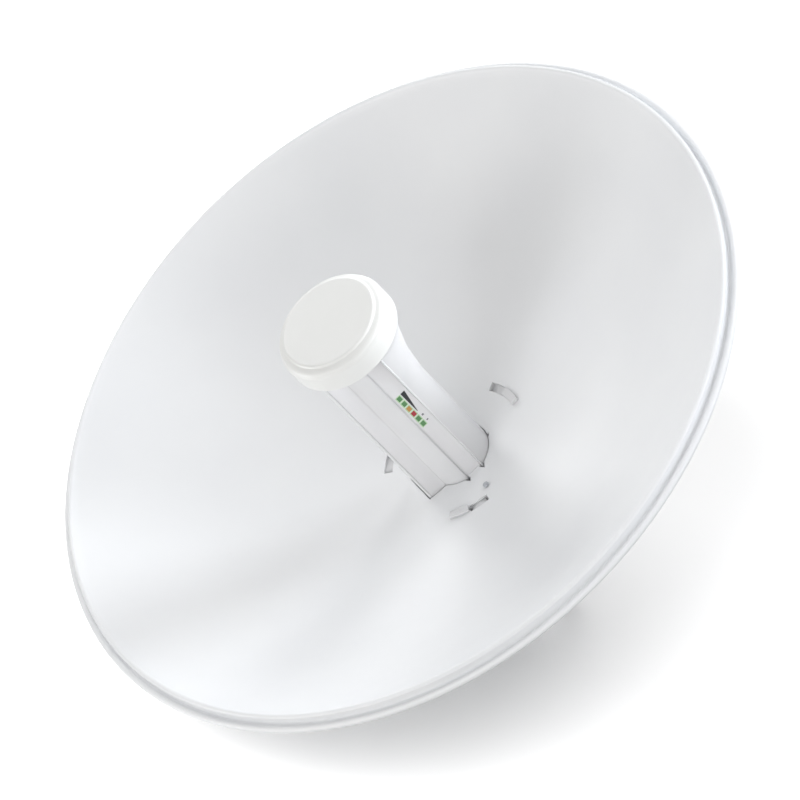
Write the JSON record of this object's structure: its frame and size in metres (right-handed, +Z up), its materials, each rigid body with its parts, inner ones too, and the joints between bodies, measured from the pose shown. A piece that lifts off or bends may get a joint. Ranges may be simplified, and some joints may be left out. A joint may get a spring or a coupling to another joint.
{
  "type": "solid dish antenna",
  "caption": "Point-to-point radio antenna: a solid parabolic dish with a plug-in feed on its axis, a rear housing, a tilting bracket and a mast clamp.",
  "frame": {"origin": "on the mast's axis, at the middle of the mast clamp", "axes": "+Z up along the mast, the beam leaves along -Y, +X to the right of a person who faces the beam's way"},
  "size_m": [0.42, 0.2659, 0.42],
  "materials": {
    "dish_paint": "satin white powder coat",
    "white_plastic": "satin moulded",
    "cap_plastic": "satin moulded",
    "grey_plastic": "fine grain",
    "label": "printed film",
    "clear_plastic": "clear",
    "board": "solder mask",
    "rubber": "matte",
    "zinc": "zinc plated",
    "stainless": "brushed",
    "aluminium": "as extruded",
    "brass": "bright"
  },
  "bodies": {
    "clamp": {"mast_clamp": "aluminium", "clamp_band": "stainless", "worm_housing": "stainless", "pivot_bolt": "zinc", "pivot_nut": "zinc", "pivot_washer": "zinc", "lock_bolt": "zinc", "lock_washer": "zinc"},
    "reflector": {"reflector_dish": "dish_paint", "rear_housing": "white_plastic", "lock_screw_right": "zinc", "lock_screw_left": "zinc", "cable_grommet": "rubber", "release_spring": "stainless", "tilt_bracket": "zinc", "bracket_screw_upper_right": "stainless", "bracket_screw_upper_left": "stainless", "bracket_screw_lower_right": "stainless", "bracket_screw_lower_left": "stainless"},
    "feed": {"feed_body": "white_plastic", "feed_cap": "cap_plastic", "cap_seal": "rubber", "subreflector": "aluminium", "radiators": "brass", "radiator_stem": "brass", "radio_board": "board", "shield_can_front": "aluminium", "shield_can_rear": "aluminium", "cable_socket": "stainless", "feed_end_cap": "grey_plastic", "led_light_guide": "clear_plastic", "led_label": "label", "side_label": "label"},
    "release": {"release_button": "grey_plastic", "release_yoke": "grey_plastic"},
    "port_cover": {"port_cover": "white_plastic"},
    "reset": {"reset_button": "grey_plastic"},
    "wing_nut": {"wing_nut": "zinc"},
    "worm_screw": {"worm_screw": "stainless"}
  },
  "joints": [
    {"name": "tilt", "type": "hinge", "parent": "clamp", "child": "reflector", "pos_m": [0, -0.038, -0.011], "axis": [1, 0, 0], "range_deg": [-20, 20]},
    {"name": "feed_slide", "type": "slide", "parent": "reflector", "child": "feed", "axis": [0, -1, 0], "range_m": [0, 0.045]},
    {"name": "release_press", "type": "slide", "parent": "reflector", "child": "release", "axis": [0, 0, -1], "range_m": [0, 0.0025], "stiffness_N_per_m": 1200, "springref_m": -0.0008, "deforming": ["release_spring"]},
    {"name": "port_cover_swing", "type": "hinge", "parent": "reflector", "child": "port_cover", "pos_m": [0, -0.085, -0.0382], "axis": [-1, 0, 0], "range_deg": [0, 95]},
    {"name": "reset_press", "type": "slide", "parent": "feed", "child": "reset", "axis": [0, -1, 0], "range_m": [0, 0.0008], "stiffness_N_per_m": 500, "springref_m": -0.0004},
    {"name": "wing_nut_turn", "type": "hinge", "parent": "clamp", "child": "wing_nut", "pos_m": [0, -0.038, 0.011], "axis": [-1, 0, 0], "continuous": true},
    {"name": "worm_screw_turn", "type": "hinge", "parent": "clamp", "child": "worm_screw", "pos_m": [-0.01892, 0.01892, 0], "axis": [-0.7071, -0.7071, 0], "continuous": true}
  ]
}
